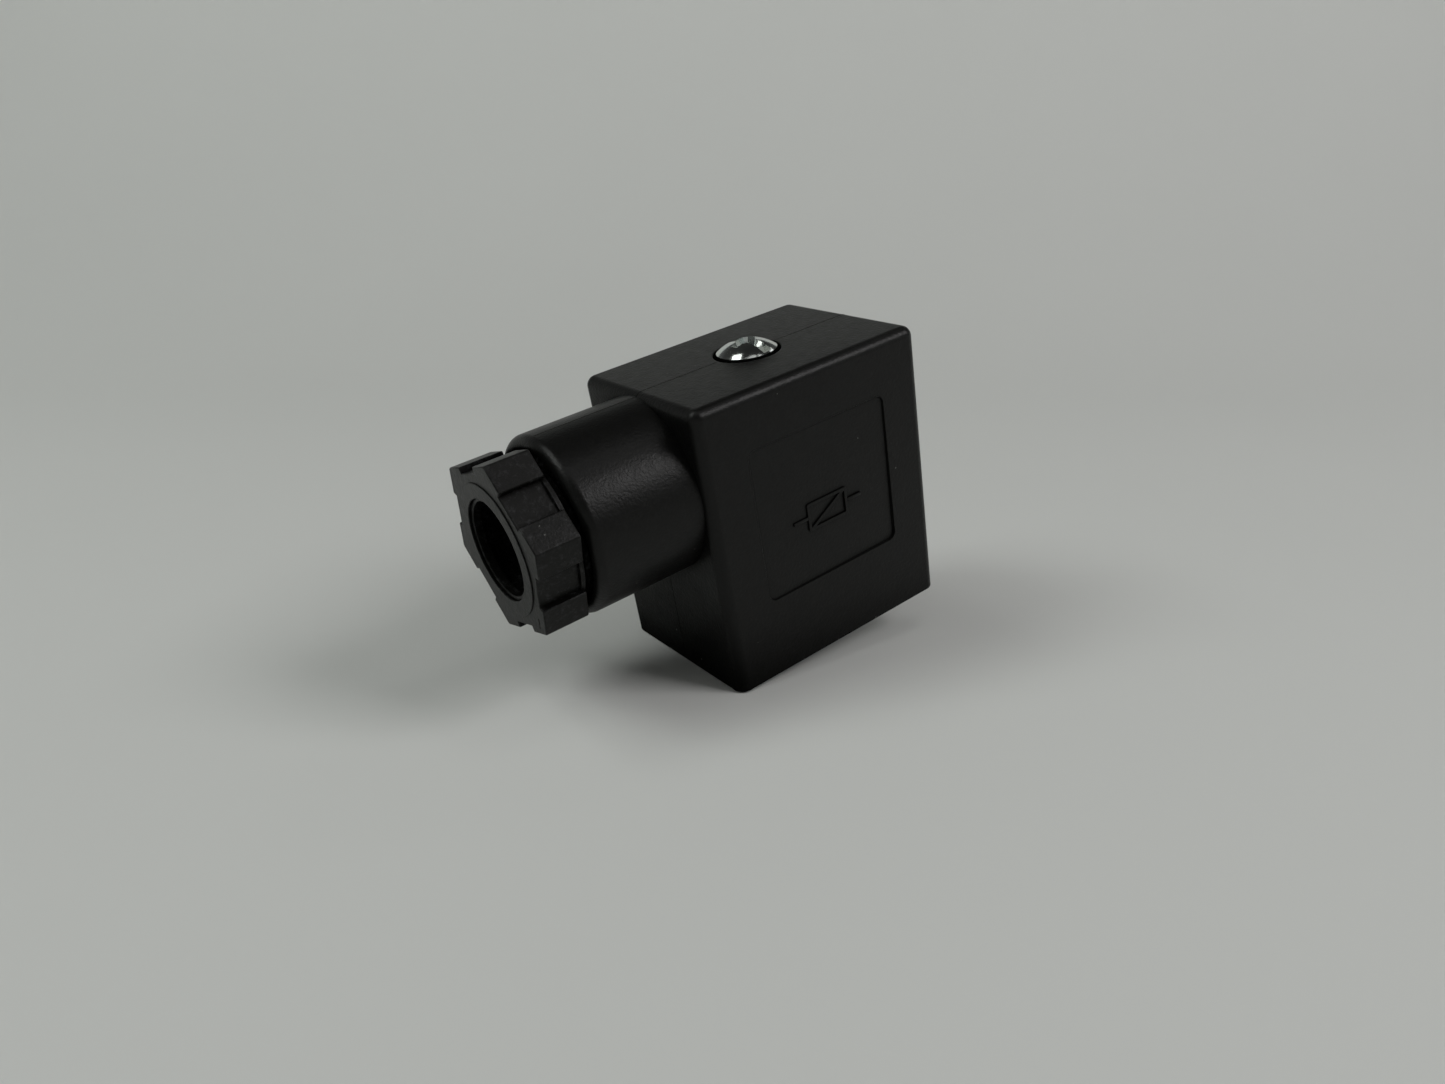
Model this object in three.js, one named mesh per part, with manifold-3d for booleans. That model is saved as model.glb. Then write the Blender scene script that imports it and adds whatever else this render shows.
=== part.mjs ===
// Plug-on connector for a solenoid valve: a rectangular housing with a cable gland on one side,
// a pull-out contact insert with three screw terminals, and one captive M3 fixing screw.
// Millimetres, +Z up. The origin is on the fixing screw's axis, in the plane of the mating face.
// The cable leaves towards -X, the flat panel side faces -Y.

import * as THREE from "three";
import { mergeVertices } from "three/addons/utils/BufferGeometryUtils.js";
import Module from "manifold-3d";

const wasm = await Module();
wasm.setup();

// ---------------------------------------------------------------- driving dimensions

const HOUSING = { length: 27.5, width: 19.7, height: 30.1, wall: 1.6, roof: 1.8 };
const EDGE_R = { vertical: 1.15, top: 1.05, cavity: 0.6 };
const GAP = 0.3;
const RIM = { depth: 1.6, wall: 0.9 };

const PANEL = { width: 17.0, height: 16.0, centreZ: 16.4, depth: 0.2, cornerR: 0.8 };

const GLAND_Z = 20.8;
const BOSS = { radius: 8.97, rimX: -25.35, rimR: 0.95, bore: 7.4, seatX: -13.6, entryR: 5.0 };
const NUT = { faceX: -30.8, hexRearX: -26.2, sleeveEndX: -20.9, acrossFlats: 16.0 };
const NUT_BORE = { mouthR: 4.95, mouthDepth: 1.1, sleeveR: 5.6 };
const NUT_SLEEVE_R = 7.0;
const NUT_CORNER_DEG = 45;
const NUT_RECESS = { width: 3.55, depth: 0.45 };
const WASHER = { outerR: 6.9, innerR: 4.6, thickness: 0.8 };
const GROMMET = { outerR: 6.7, innerR: 3.3, length: 4.8 };
const GLAND_TRAVEL = 0.8;

const SCREW = { shankR: 1.5, headR: 3.1, seatZ: 28.7, rimZ: 30.25, crownZ: 31.35, tipZ: -2.5 };
const DRIVE = { slotWidth: 0.9, slotDepth: 1.0, crossWidth: 0.85, crossLength: 3.3, crossDepth: 1.7 };
const COUNTERBORE = { radius: 3.45, floorZ: 25.3, pillarR: 5.05, webZ: 23.8 };
const SHANK_HOLE_R = 1.8;
const SEAL = { outerR: 2.95, innerR: 1.85, thickness: 0.9 };
const RETAINER = { outerR: 2.45, innerR: 1.65, thickness: 1.0 };

const GASKET = { thickness: 1.3, slotLength: 7.6, slotWidth: 2.2, screwHoleR: 2.2 };
const INSERT = { bottomZ: 1.6, blockTopZ: 11.4, floor: 1.0, tubeR: 3.7, tubeBoreR: 2.8, cornerR: 0.5 };
const POCKET = { halfLength: 3.95, halfWidth: 1.9 };
const BLADE_SLOT = { length: 6.9, width: 1.4 };
const DIVIDER = { thickness: 1.2, topZ: 17.5, fromX: -10.8, toX: -3.4 };
const CROSS_WALL = { x: 4.6, thickness: 0.7, topZ: 14.8, gapY: 7.4 };

const LEAF = { halfLength: 3.2, inner: 0.45, outer: 0.85, bottomZ: 2.9 };
const LEAF_NOTCH = { halfLength: 1.75, fromZ: 8.2 };
const TABLE = { halfSize: 2.8, bottomZ: 11.7, thickness: 1.0, holeR: 1.6 };
const SPRING = { halfLength: 3.65, halfWidth: 1.4, sheet: 0.25, bottomZ: 4.0, height: 2.6, slit: 1.2 };
const CLAMP = { halfLength: 2.7, halfWidth: 2.5, thickness: 0.8, holeR: 1.6, wireGap: 1.4, lip: 0.35 };
const TERMINAL_SCREW = { headR: 2.5, headHeight: 1.8, shankR: 1.25, shankLength: 5.0, slot: 0.7 };

// Blade positions: two power blades 11 mm apart, and the earth blade across the far end.
const BLADE_SPACING = 11.0;
const EARTH_X = 8.2;
const POWER_TABLE = { x: -6.7, y: 4.7 };
const TERMINALS = [
  { name: "1", x: 0, y: -BLADE_SPACING / 2, alongX: true, tableX: POWER_TABLE.x, tableY: -POWER_TABLE.y },
  { name: "2", x: 0, y: BLADE_SPACING / 2, alongX: true, tableX: POWER_TABLE.x, tableY: POWER_TABLE.y },
  { name: "earth", x: EARTH_X, y: 0, alongX: false, tableX: EARTH_X, tableY: 0 },
];

const ROUND = 32;
const CUT = 1.0; // how far a cutting shape runs past the face that it cuts

// ---------------------------------------------------------------- materials

const MATERIALS = {
  housing: { color: 0x1b1b1c, roughness: 0.48, metalness: 0.0 },
  nut: { color: 0x1f1f1e, roughness: 0.55, metalness: 0.0 },
  insert: { color: 0x242426, roughness: 0.5, metalness: 0.0 },
  rubber: { color: 0x111111, roughness: 0.85, metalness: 0.0 },
  zinc: { color: 0xc9ccd0, roughness: 0.25, metalness: 1.0 },
  tin: { color: 0xb9b6ae, roughness: 0.4, metalness: 1.0 },
  steel: { color: 0x9da0a4, roughness: 0.35, metalness: 1.0 },
  washer: { color: 0x1c1c1b, roughness: 0.6, metalness: 0.0 },
};

const group = new THREE.Group();

function addNode(name, solid, look) {
  const mesh = new THREE.Mesh(toGeometry(solid), new THREE.MeshStandardMaterial(MATERIALS[look]));
  mesh.name = name;
  group.add(mesh);
}

// ---------------------------------------------------------------- solids from three.js shapes

function signedVolume(points, triangles) {
  const a = new THREE.Vector3();
  const b = new THREE.Vector3();
  const c = new THREE.Vector3();
  let volume = 0;
  for (let i = 0; i < triangles.length; i += 3) {
    a.fromArray(points, 3 * triangles[i]);
    b.fromArray(points, 3 * triangles[i + 1]);
    c.fromArray(points, 3 * triangles[i + 2]);
    volume += a.dot(b.cross(c)) / 6;
  }
  return volume;
}

function toSolid(geometry) {
  const bare = geometry.clone();
  bare.deleteAttribute("normal");
  bare.deleteAttribute("uv");
  const merged = mergeVertices(bare, 1e-4);
  const vertProperties = new Float32Array(merged.attributes.position.array);
  const triVerts = new Uint32Array(merged.index.array);
  if (signedVolume(vertProperties, triVerts) < 0) {
    for (let i = 0; i < triVerts.length; i += 3) {
      [triVerts[i], triVerts[i + 1]] = [triVerts[i + 1], triVerts[i]];
    }
  }
  return new wasm.Manifold(new wasm.Mesh({ numProp: 3, vertProperties, triVerts }));
}

function toGeometry(solid) {
  const mesh = solid.getMesh();
  const geometry = new THREE.BufferGeometry();
  geometry.setAttribute("position", new THREE.BufferAttribute(mesh.vertProperties, 3));
  geometry.setIndex(new THREE.BufferAttribute(mesh.triVerts, 1));
  geometry.computeVertexNormals();
  return geometry;
}

function block(x0, x1, y0, y1, z0, z1) {
  const geometry = new THREE.BoxGeometry(x1 - x0, y1 - y0, z1 - z0);
  return toSolid(geometry.translate((x0 + x1) / 2, (y0 + y1) / 2, (z0 + z1) / 2));
}

function rod(x, y, radius, z0, z1, sides = ROUND) {
  const geometry = new THREE.CylinderGeometry(radius, radius, z1 - z0, sides);
  return toSolid(geometry.rotateX(Math.PI / 2).translate(x, y, (z0 + z1) / 2));
}

// A profile of [radius, height] pairs turned about the Z axis.
function turnedZ(profile, sides = ROUND) {
  const points = profile.map(([radius, z]) => new THREE.Vector2(radius, z));
  return toSolid(new THREE.LatheGeometry(points, sides).rotateX(Math.PI / 2));
}

// A profile of [radius, x] pairs turned about the gland's axis.
function turnedX(profile, sides = ROUND) {
  const points = profile.map(([radius, x]) => new THREE.Vector2(radius, x));
  const geometry = new THREE.LatheGeometry(points, sides).rotateZ(-Math.PI / 2);
  return toSolid(geometry.translate(0, 0, GLAND_Z));
}

// A plain ring has a closed rectangular profile.
function ringProfile(innerR, outerR, from, to) {
  return [[innerR, from], [outerR, from], [outerR, to], [innerR, to], [innerR, from]];
}

function roundedRect(width, height, radius) {
  const shape = new THREE.Shape();
  const x = width / 2 - radius;
  const y = height / 2 - radius;
  shape.absarc(x, y, radius, 0, Math.PI / 2);
  shape.absarc(-x, y, radius, Math.PI / 2, Math.PI);
  shape.absarc(-x, -y, radius, Math.PI, 1.5 * Math.PI);
  shape.absarc(x, -y, radius, 1.5 * Math.PI, 2 * Math.PI);
  shape.closePath();
  return shape;
}

function roundedBlock(width, depth, radius, z0, z1) {
  const options = { depth: z1 - z0, bevelEnabled: false, curveSegments: 4 };
  const geometry = new THREE.ExtrudeGeometry(roundedRect(width, depth, radius), options);
  return toSolid(geometry.translate(0, 0, z0));
}

function union(...solids) {
  return solids.reduce((whole, solid) => whole.add(solid));
}

function cut(solid, ...tools) {
  return tools.reduce((rest, tool) => rest.subtract(tool), solid);
}

// ---------------------------------------------------------------- housing

const cavityLength = HOUSING.length - 2 * HOUSING.wall;
const cavityWidth = HOUSING.width - 2 * HOUSING.wall;
const roofZ = HOUSING.height - HOUSING.roof;

// The bevel rounds the top edge; the one below the mating face is cut away.
function housingShell() {
  const below = 2 * EDGE_R.top;
  const options = {
    depth: HOUSING.height - EDGE_R.top + below,
    bevelEnabled: true,
    bevelThickness: EDGE_R.top,
    bevelSize: EDGE_R.top,
    bevelOffset: -EDGE_R.top,
    bevelSegments: 4,
    curveSegments: 5,
  };
  const outline = roundedRect(HOUSING.length, HOUSING.width, EDGE_R.vertical);
  const shell = toSolid(new THREE.ExtrudeGeometry(outline, options).translate(0, 0, -below));
  const { length, width } = HOUSING;
  return cut(shell, block(-length, length, -width, width, -2 * below, 0));
}

function bossBody() {
  const startX = -HOUSING.length / 2 + HOUSING.wall / 2;
  const profile = [[0, startX], [BOSS.radius, startX]];
  const steps = 4;
  for (let i = 0; i <= steps; i++) {
    const angle = (i / steps) * Math.PI / 2;
    const radius = BOSS.radius - BOSS.rimR * (1 - Math.cos(angle));
    profile.push([radius, BOSS.rimX + BOSS.rimR * (1 - Math.sin(angle))]);
  }
  profile.push([0, BOSS.rimX]);
  return turnedX(profile, 48);
}

function panelRecess() {
  const options = { depth: PANEL.depth + CUT, bevelEnabled: false, curveSegments: 4 };
  const outline = roundedRect(PANEL.width, PANEL.height, PANEL.cornerR);
  const geometry = new THREE.ExtrudeGeometry(outline, options).rotateX(Math.PI / 2);
  return toSolid(geometry.translate(0, -HOUSING.width / 2 + PANEL.depth, PANEL.centreZ));
}

function makeHousing() {
  const outside = union(housingShell(), bossBody());
  const cavity = roundedBlock(cavityLength, cavityWidth, EDGE_R.cavity, -CUT, roofZ);
  const rimLength = HOUSING.length - 2 * RIM.wall;
  const rimWidth = HOUSING.width - 2 * RIM.wall;
  const rimSeat = roundedBlock(rimLength, rimWidth, EDGE_R.cavity, -CUT, RIM.depth);
  const hollow = cut(outside, cavity, rimSeat);
  const pillar = rod(0, 0, COUNTERBORE.pillarR, COUNTERBORE.webZ, roofZ + HOUSING.roof / 2);
  const threadedBore = turnedX([[0, BOSS.rimX - CUT], [BOSS.bore, BOSS.rimX - CUT],
    [BOSS.bore, BOSS.seatX], [0, BOSS.seatX]], 40);
  const cableEntry = turnedX([[0, BOSS.seatX - CUT], [BOSS.entryR, BOSS.seatX - CUT],
    [BOSS.entryR, -cavityLength / 2 + CUT], [0, -cavityLength / 2 + CUT]]);
  return cut(
    union(hollow, pillar),
    rod(0, 0, COUNTERBORE.radius, COUNTERBORE.floorZ, HOUSING.height + CUT),
    rod(0, 0, SHANK_HOLE_R, COUNTERBORE.webZ - CUT, COUNTERBORE.floorZ + CUT),
    threadedBore,
    cableEntry,
    panelRecess(),
  );
}

addNode("housing", makeHousing(), "housing");

// ---------------------------------------------------------------- cable gland

// A hexagon in the YZ plane whose six flats each have a shallow channel along their middle.
function nutOutline() {
  const apothem = NUT.acrossFlats / 2;
  const halfSide = apothem * Math.tan(Math.PI / 6);
  const halfRecess = NUT_RECESS.width / 2;
  const side = [[apothem, -halfSide], [apothem, -halfRecess], [apothem - NUT_RECESS.depth, -halfRecess],
    [apothem - NUT_RECESS.depth, halfRecess], [apothem, halfRecess]];
  const points = [];
  for (let i = 0; i < 6; i++) {
    const turn = THREE.MathUtils.degToRad(NUT_CORNER_DEG + 30 + 60 * i);
    for (const [out, along] of side) {
      points.push(new THREE.Vector2(out, along).rotateAround(new THREE.Vector2(), turn));
    }
  }
  return new THREE.Shape(points);
}

function makeNut() {
  const options = { depth: NUT.hexRearX - NUT.faceX, bevelEnabled: false };
  const yzPlane = new THREE.Matrix4().makeBasis(
    new THREE.Vector3(0, 1, 0), new THREE.Vector3(0, 0, 1), new THREE.Vector3(1, 0, 0));
  const hexGeometry = new THREE.ExtrudeGeometry(nutOutline(), options).applyMatrix4(yzPlane);
  const hex = toSolid(hexGeometry.translate(NUT.faceX, 0, GLAND_Z));
  const sleeveStart = NUT.faceX + NUT_BORE.mouthDepth;
  const sleeve = turnedX(ringProfile(NUT_BORE.sleeveR, NUT_SLEEVE_R, sleeveStart, NUT.sleeveEndX));
  const mouth = turnedX([[0, NUT.faceX - CUT], [NUT_BORE.mouthR, NUT.faceX - CUT],
    [NUT_BORE.mouthR, sleeveStart + CUT], [0, sleeveStart + CUT]]);
  const bore = turnedX([[0, sleeveStart], [NUT_BORE.sleeveR, sleeveStart],
    [NUT_BORE.sleeveR, NUT.sleeveEndX + CUT], [0, NUT.sleeveEndX + CUT]]);
  return cut(union(hex, sleeve), mouth, bore);
}

const washerX = NUT.sleeveEndX + GAP;
const washerEndX = washerX + WASHER.thickness;
const grommetX = washerEndX + GLAND_TRAVEL + GAP;

addNode("gland_nut", makeNut(), "nut");
addNode("thrust_washer", turnedX(ringProfile(WASHER.innerR, WASHER.outerR, washerX, washerEndX)), "washer");
addNode("cable_grommet",
  turnedX(ringProfile(GROMMET.innerR, GROMMET.outerR, grommetX, grommetX + GROMMET.length)), "rubber");

// ---------------------------------------------------------------- captive fixing screw

function makeFixingScrew() {
  const crown = SCREW.crownZ - SCREW.rimZ;
  const domeR = (SCREW.headR ** 2 + crown ** 2) / (2 * crown);
  const halfAngle = Math.asin(SCREW.headR / domeR);
  const tipChamfer = 0.4;
  const profile = [[0, SCREW.tipZ], [SCREW.shankR - tipChamfer, SCREW.tipZ],
    [SCREW.shankR, SCREW.tipZ + tipChamfer], [SCREW.shankR, SCREW.seatZ], [SCREW.headR, SCREW.seatZ]];
  const steps = 5;
  for (let i = 0; i <= steps; i++) {
    const angle = halfAngle * (1 - i / steps);
    profile.push([domeR * Math.sin(angle), SCREW.crownZ - domeR * (1 - Math.cos(angle))]);
  }
  const top = SCREW.crownZ + CUT;
  const slotHalf = DRIVE.slotWidth / 2;
  const crossHalf = DRIVE.crossWidth / 2;
  const arm = DRIVE.crossLength / 2;
  const slotFloor = SCREW.crownZ - DRIVE.slotDepth;
  const crossFloor = SCREW.crownZ - DRIVE.crossDepth;
  return cut(
    turnedZ(profile),
    block(-SCREW.headR - CUT, SCREW.headR + CUT, -slotHalf, slotHalf, slotFloor, top),
    block(-arm, arm, -crossHalf, crossHalf, crossFloor, top),
    block(-crossHalf, crossHalf, -arm, arm, crossFloor, top),
  );
}

const sealTop = SCREW.seatZ - GAP;
const retainerTop = COUNTERBORE.webZ - GAP;

addNode("fixing_screw", makeFixingScrew(), "zinc");
addNode("screw_seal",
  turnedZ(ringProfile(SEAL.innerR, SEAL.outerR, sealTop - SEAL.thickness, sealTop), 24), "rubber");
addNode("screw_retaining_ring",
  turnedZ(ringProfile(RETAINER.innerR, RETAINER.outerR, retainerTop - RETAINER.thickness, retainerTop), 24),
  "rubber");

// ---------------------------------------------------------------- contact insert and gasket

// A block centred on a blade: length runs along the blade, width across its thickness.
function bladeBlock(terminal, halfLength, halfWidth, z0, z1) {
  const dx = terminal.alongX ? halfLength : halfWidth;
  const dy = terminal.alongX ? halfWidth : halfLength;
  return block(terminal.x - dx, terminal.x + dx, terminal.y - dy, terminal.y + dy, z0, z1);
}

const insertLength = cavityLength - 2 * GAP;
const insertWidth = cavityWidth - 2 * GAP;
const tubeTop = COUNTERBORE.webZ - GAP;
const tableTop = TABLE.bottomZ + TABLE.thickness;
const clampBottom = tableTop + CLAMP.wireGap;
const clampTop = clampBottom + CLAMP.thickness;
const screwSeat = clampTop + GAP;
const terminalTip = screwSeat - TERMINAL_SCREW.shankLength;

function makeInsert() {
  const base = roundedBlock(insertLength, insertWidth, INSERT.cornerR, INSERT.bottomZ, INSERT.blockTopZ);
  const tube = rod(0, 0, INSERT.tubeR, INSERT.bottomZ, tubeTop);
  const halfDivider = DIVIDER.thickness / 2;
  const divider = block(DIVIDER.fromX, DIVIDER.toX, -halfDivider, halfDivider, INSERT.bottomZ, DIVIDER.topZ);
  const wallX1 = CROSS_WALL.x + CROSS_WALL.thickness;
  const crossWall = block(CROSS_WALL.x, wallX1, -CROSS_WALL.gapY, CROSS_WALL.gapY,
    INSERT.bottomZ, CROSS_WALL.topZ);
  const tools = [
    rod(0, 0, INSERT.tubeBoreR, INSERT.bottomZ + INSERT.floor, tubeTop + CUT),
    rod(0, 0, SHANK_HOLE_R, INSERT.bottomZ - CUT, INSERT.bottomZ + INSERT.floor + CUT),
  ];
  for (const terminal of TERMINALS) {
    const pocketFloor = INSERT.bottomZ + INSERT.floor;
    const slotBottom = INSERT.bottomZ - CUT;
    const tipRoom = terminalTip - 2 * CLAMP.wireGap;
    tools.push(
      bladeBlock(terminal, POCKET.halfLength, POCKET.halfWidth, pocketFloor, INSERT.blockTopZ + CUT),
      bladeBlock(terminal, BLADE_SLOT.length / 2, BLADE_SLOT.width / 2, slotBottom, pocketFloor + CUT),
      rod(terminal.tableX, terminal.tableY, TABLE.holeR, tipRoom, INSERT.blockTopZ + CUT),
    );
  }
  return cut(union(base, tube, divider, crossWall), ...tools);
}

function makeGasket() {
  const length = HOUSING.length - 2 * (RIM.wall + GAP);
  const width = HOUSING.width - 2 * (RIM.wall + GAP);
  const through = GASKET.thickness + CUT;
  const tools = [rod(0, 0, GASKET.screwHoleR, -CUT, through)];
  for (const terminal of TERMINALS) {
    tools.push(bladeBlock(terminal, GASKET.slotLength / 2, GASKET.slotWidth / 2, -CUT, through));
  }
  return cut(roundedBlock(length, width, EDGE_R.cavity, 0, GASKET.thickness), ...tools);
}

addNode("contact_insert", makeInsert(), "insert");
addNode("face_gasket", makeGasket(), "rubber");

// ---------------------------------------------------------------- contacts and screw terminals

// Two spring leaves that grip the blade, hanging from a plate with the tapped screw table.
function makeContact(terminal) {
  const leafPair = cut(
    bladeBlock(terminal, LEAF.halfLength, LEAF.outer, LEAF.bottomZ, tableTop),
    bladeBlock(terminal, LEAF.halfLength + CUT, LEAF.inner, LEAF.bottomZ - CUT, TABLE.bottomZ),
    bladeBlock(terminal, LEAF_NOTCH.halfLength, LEAF.outer + CUT, LEAF_NOTCH.fromZ, TABLE.bottomZ),
  );
  const { halfSize } = TABLE;
  const table = block(terminal.tableX - halfSize, terminal.tableX + halfSize,
    terminal.tableY - halfSize, terminal.tableY + halfSize, TABLE.bottomZ, tableTop);
  const parts = [leafPair, table];
  if (terminal.tableX !== terminal.x) {
    const side = Math.sign(terminal.y);
    const near = side * (Math.abs(terminal.y) - LEAF.outer);
    const far = side * (Math.abs(terminal.y) + LEAF.outer);
    parts.push(block(terminal.tableX, terminal.x + LEAF.halfLength,
      Math.min(near, far), Math.max(near, far), TABLE.bottomZ, tableTop));
  }
  const hole = rod(terminal.tableX, terminal.tableY, TABLE.holeR, TABLE.bottomZ - CUT, tableTop + CUT, 20);
  return cut(union(...parts), hole);
}

// A steel clip round the leaves, open at one end.
function makeContactSpring(terminal) {
  const top = SPRING.bottomZ + SPRING.height;
  const from = SPRING.bottomZ - CUT;
  const innerLength = SPRING.halfLength - SPRING.sheet;
  const innerWidth = SPRING.halfWidth - SPRING.sheet;
  const end = {
    ...terminal,
    x: terminal.x + (terminal.alongX ? SPRING.halfLength : 0),
    y: terminal.y + (terminal.alongX ? 0 : SPRING.halfLength),
  };
  return cut(
    bladeBlock(terminal, SPRING.halfLength, SPRING.halfWidth, SPRING.bottomZ, top),
    bladeBlock(terminal, innerLength, innerWidth, from, top + CUT),
    bladeBlock(end, SPRING.slit, SPRING.slit / 2, from, top + CUT),
  );
}

// A pressure plate with two turned-down lips that centre the wire.
function makeClampPlate(terminal) {
  const x = terminal.tableX;
  const y = terminal.tableY;
  const plate = block(x - CLAMP.halfLength, x + CLAMP.halfLength,
    y - CLAMP.halfWidth, y + CLAMP.halfWidth, clampBottom - CLAMP.lip, clampTop);
  const hollow = block(x - CLAMP.halfLength - CUT, x + CLAMP.halfLength + CUT,
    y - CLAMP.halfWidth + CLAMP.thickness, y + CLAMP.halfWidth - CLAMP.thickness,
    clampBottom - CLAMP.lip - CUT, clampBottom);
  return cut(plate, hollow, rod(x, y, CLAMP.holeR, clampBottom - CUT, clampTop + CUT, 20));
}

function makeTerminalScrew(terminal) {
  const x = terminal.tableX;
  const y = terminal.tableY;
  const headTop = screwSeat + TERMINAL_SCREW.headHeight;
  const half = TERMINAL_SCREW.slot / 2;
  const reach = TERMINAL_SCREW.headR + CUT;
  const slotFloor = headTop - TERMINAL_SCREW.headHeight / 2;
  return cut(
    union(
      rod(x, y, TERMINAL_SCREW.headR, screwSeat, headTop, 24),
      rod(x, y, TERMINAL_SCREW.shankR, terminalTip, screwSeat + CUT / 2, 20),
    ),
    block(x - reach, x + reach, y - half, y + half, slotFloor, headTop + CUT),
  );
}

for (const terminal of TERMINALS) {
  addNode(`contact_${terminal.name}`, makeContact(terminal), "tin");
  addNode(`contact_spring_${terminal.name}`, makeContactSpring(terminal), "steel");
  addNode(`clamp_plate_${terminal.name}`, makeClampPlate(terminal), "zinc");
  addNode(`terminal_screw_${terminal.name}`, makeTerminalScrew(terminal), "zinc");
}

export default group;
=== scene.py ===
"""Looks of the solenoid valve connector: housing, cable gland, contact insert and fixing screw.

Shapes are made in millimetres in the row frame and scaled to metres when a piece is finished.
"""
import math

import bmesh
import bpy
from mathutils import Matrix, Vector


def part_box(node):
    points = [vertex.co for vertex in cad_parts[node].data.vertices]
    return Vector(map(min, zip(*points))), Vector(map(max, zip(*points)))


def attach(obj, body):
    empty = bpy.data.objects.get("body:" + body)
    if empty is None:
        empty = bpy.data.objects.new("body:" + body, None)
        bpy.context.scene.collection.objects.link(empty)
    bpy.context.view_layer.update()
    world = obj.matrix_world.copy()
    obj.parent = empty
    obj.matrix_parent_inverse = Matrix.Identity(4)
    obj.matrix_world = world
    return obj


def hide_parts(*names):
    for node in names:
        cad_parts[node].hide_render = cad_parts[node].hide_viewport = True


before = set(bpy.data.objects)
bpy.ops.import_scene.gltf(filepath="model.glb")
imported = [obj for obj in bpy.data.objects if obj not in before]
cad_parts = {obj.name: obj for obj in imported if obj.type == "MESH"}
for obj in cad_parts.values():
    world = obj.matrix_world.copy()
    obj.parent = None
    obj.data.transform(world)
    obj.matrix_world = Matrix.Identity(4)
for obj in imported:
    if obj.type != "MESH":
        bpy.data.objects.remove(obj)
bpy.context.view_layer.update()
MM = 0.001


def cad_box(node):
    """Lowest and highest corner of a CAD node, in millimetres."""
    low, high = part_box(node)
    return low / MM, high / MM


# ---------------------------------------------------------------- sizes read from the frame

HOUSE_LO, HOUSE_HI = cad_box("housing")
NUT_LO, NUT_HI = cad_box("gland_nut")
SCREW_LO, SCREW_HI = cad_box("fixing_screw")
INSERT_LO, INSERT_HI = cad_box("contact_insert")
GASKET_LO, GASKET_HI = cad_box("face_gasket")
WASHER_LO, WASHER_HI = cad_box("thrust_washer")
GROMMET_LO, GROMMET_HI = cad_box("cable_grommet")
SEAL_LO, SEAL_HI = cad_box("screw_seal")
RING_LO, RING_HI = cad_box("screw_retaining_ring")

GLAND_Z = (WASHER_LO.z + WASHER_HI.z) / 2
TERMINAL_NAMES = ("1", "2", "earth")

# ---------------------------------------------------------------- camera and stage

# The connector leans on the lower edge of its gland side and on the tip of its screw.
TIP_CHAMFER = 0.4
SHANK_R = 1.5
LEAN = math.atan(-SCREW_LO.z / (HOUSE_HI.x - SHANK_R + TIP_CHAMFER))
STAGE = Matrix.Rotation(LEAN, 3, "Y")

CAMERA_AIM = Vector((-6.06, 1.09, 10.56))
CAMERA_DISTANCE = 114.55
CAMERA_AZIMUTH = math.radians(-36.09)
CAMERA_ELEVATION = math.radians(20.61)
CAMERA_ROLL = math.radians(0.12)
CAMERA_LENS = 26.785
CAMERA_SENSOR = 36.0
CAMERA_CLIP = (0.005, 10.0)


def make_camera():
    """A camera placed by its distance and angles in the stage's frame."""
    data = bpy.data.cameras.new("camera")
    data.lens = CAMERA_LENS
    data.sensor_width = CAMERA_SENSOR
    data.clip_start, data.clip_end = CAMERA_CLIP
    camera = bpy.data.objects.new("camera", data)
    bpy.context.scene.collection.objects.link(camera)
    level = math.cos(CAMERA_ELEVATION)
    back = STAGE @ Vector((math.sin(CAMERA_AZIMUTH) * level, -math.cos(CAMERA_AZIMUTH) * level,
                           math.sin(CAMERA_ELEVATION)))
    up = STAGE @ Vector((0, 0, 1))
    right = up.cross(back).normalized()
    turn = Matrix.Rotation(CAMERA_ROLL, 3, back)
    axes = Matrix((right, back.cross(right), back)).transposed()
    camera.matrix_world = Matrix.LocRotScale((CAMERA_AIM + back * CAMERA_DISTANCE) * MM,
                                             (turn @ axes).to_quaternion(), None)
    bpy.context.scene.camera = camera


make_camera()

# ---------------------------------------------------------------- mesh kit, in millimetres

# A cutting tool reaches this far past the surface that it opens.
CUT = 1.0
# Points closer than WELD become one, and faces thinner than CRUMB go.
WELD = 0.002
CRUMB = 0.001
SLIVER_SIDES = 8
NORMAL_WEIGHT = 100
# A thread fades out over this share of its pitch. The flat is the width of its root.
THREAD_FADE = 0.7
THREAD_FLAT = 0.35


def from_bmesh(bm):
    bmesh.ops.recalc_face_normals(bm, faces=bm.faces)
    mesh = bpy.data.meshes.new("part")
    bm.to_mesh(mesh)
    bm.free()
    obj = bpy.data.objects.new("part", mesh)
    bpy.context.scene.collection.objects.link(obj)
    return obj


def bake(obj):
    """Applies the object's modifiers to its mesh."""
    depsgraph = bpy.context.evaluated_depsgraph_get()
    mesh = bpy.data.meshes.new_from_object(obj.evaluated_get(depsgraph))
    obj.modifiers.clear()
    old = obj.data
    obj.data = mesh
    bpy.data.meshes.remove(old)
    return obj


def boolean(base, tools, operation):
    """Joins the tools to the base or takes them away, one after another, and removes them."""
    for tool in tools:
        modifier = base.modifiers.new("boolean", "BOOLEAN")
        modifier.operation = operation
        modifier.solver = "EXACT"
        modifier.object = tool
        bake(base)
        mesh = tool.data
        bpy.data.objects.remove(tool)
        bpy.data.meshes.remove(mesh)
    return base


def union(base, *tools):
    return boolean(base, tools, "UNION")


def cut(base, *tools):
    return boolean(base, tools, "DIFFERENCE")


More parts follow.
